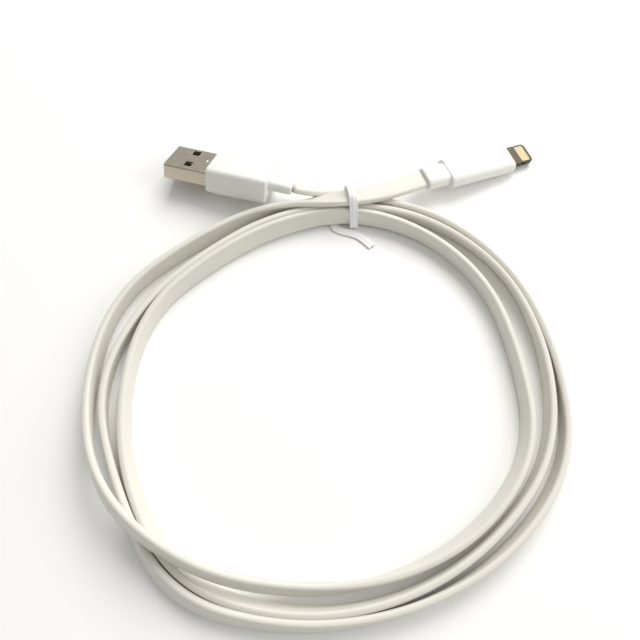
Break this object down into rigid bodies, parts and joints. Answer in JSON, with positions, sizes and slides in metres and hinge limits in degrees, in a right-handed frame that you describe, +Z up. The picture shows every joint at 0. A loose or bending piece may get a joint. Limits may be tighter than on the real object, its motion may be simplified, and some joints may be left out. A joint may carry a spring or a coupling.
{
  "type": "charging cable",
  "caption": "Flat white charging cable coiled in loose turns and tied, with a USB-A plug at one end and a slim phone plug at the other.",
  "frame": {"origin": "on the surface the cable lies on, under the middle of the box round both plugs and the tie", "axes": "+X from the USB plug's end towards the phone plug's end, +Y away from the coil, +Z up off the surface"},
  "size_m": [0.1222, 0.1433, 0.012],
  "materials": {
    "cable_jacket": "satin",
    "tie_plastic": "gloss",
    "tie_steel": "bright",
    "nickel_shell": "nickel plated",
    "gold_contact": "gold plated",
    "tongue_plastic": "matt",
    "insert_resin": "satin",
    "dark_steel": "brushed",
    "tin_plate": "tin plated",
    "inner_polyethylene": "matt",
    "white_moulding": "satin",
    "solder": "bright",
    "board_laminate": "satin",
    "chip_resin": "matt",
    "wire_red": "satin",
    "wire_white": "satin",
    "wire_green": "satin",
    "wire_black": "satin"
  },
  "bodies": {
    "root": {"cable_coil": "cable_jacket", "cable_lead_phone": "cable_jacket", "cable_lead_usb": "cable_jacket", "phone_circuit_board": "board_laminate", "phone_contact_bottom_1": "gold_contact", "phone_contact_bottom_2": "gold_contact", "phone_contact_bottom_3": "gold_contact", "phone_contact_bottom_4": "gold_contact", "phone_contact_bottom_5": "gold_contact", "phone_contact_bottom_6": "gold_contact", "phone_contact_bottom_7": "gold_contact", "phone_contact_bottom_8": "gold_contact", "phone_contact_insert": "insert_resin", "phone_contact_top_1": "gold_contact", "phone_contact_top_2": "gold_contact", "phone_contact_top_3": "gold_contact", "phone_contact_top_4": "gold_contact", "phone_contact_top_5": "gold_contact", "phone_contact_top_6": "gold_contact", "phone_contact_top_7": "gold_contact", "phone_contact_top_8": "gold_contact", "phone_controller_chip": "chip_resin", "phone_inner_mould": "inner_polyethylene", "phone_overmold": "white_moulding", "phone_plug_tip": "dark_steel", "phone_shield": "tin_plate", "phone_solder_joint_1": "solder", "phone_solder_joint_2": "solder", "phone_solder_joint_3": "solder", "phone_solder_joint_4": "solder", "phone_strain_relief": "white_moulding", "phone_wire_black": "wire_black", "phone_wire_green": "wire_green", "phone_wire_red": "wire_red", "phone_wire_white": "wire_white", "tie_sleeve": "tie_plastic", "tie_wire": "tie_steel", "usb_contact_d_minus": "gold_contact", "usb_contact_d_plus": "gold_contact", "usb_contact_ground": "gold_contact", "usb_contact_vbus": "gold_contact", "usb_inner_mould": "inner_polyethylene", "usb_overmold": "white_moulding", "usb_shell": "nickel_shell", "usb_solder_joint_1": "solder", "usb_solder_joint_2": "solder", "usb_solder_joint_3": "solder", "usb_solder_joint_4": "solder", "usb_strain_relief": "white_moulding", "usb_tongue": "tongue_plastic", "usb_wire_black": "wire_black", "usb_wire_green": "wire_green", "usb_wire_red": "wire_red", "usb_wire_white": "wire_white"}
  },
  "joints": []
}
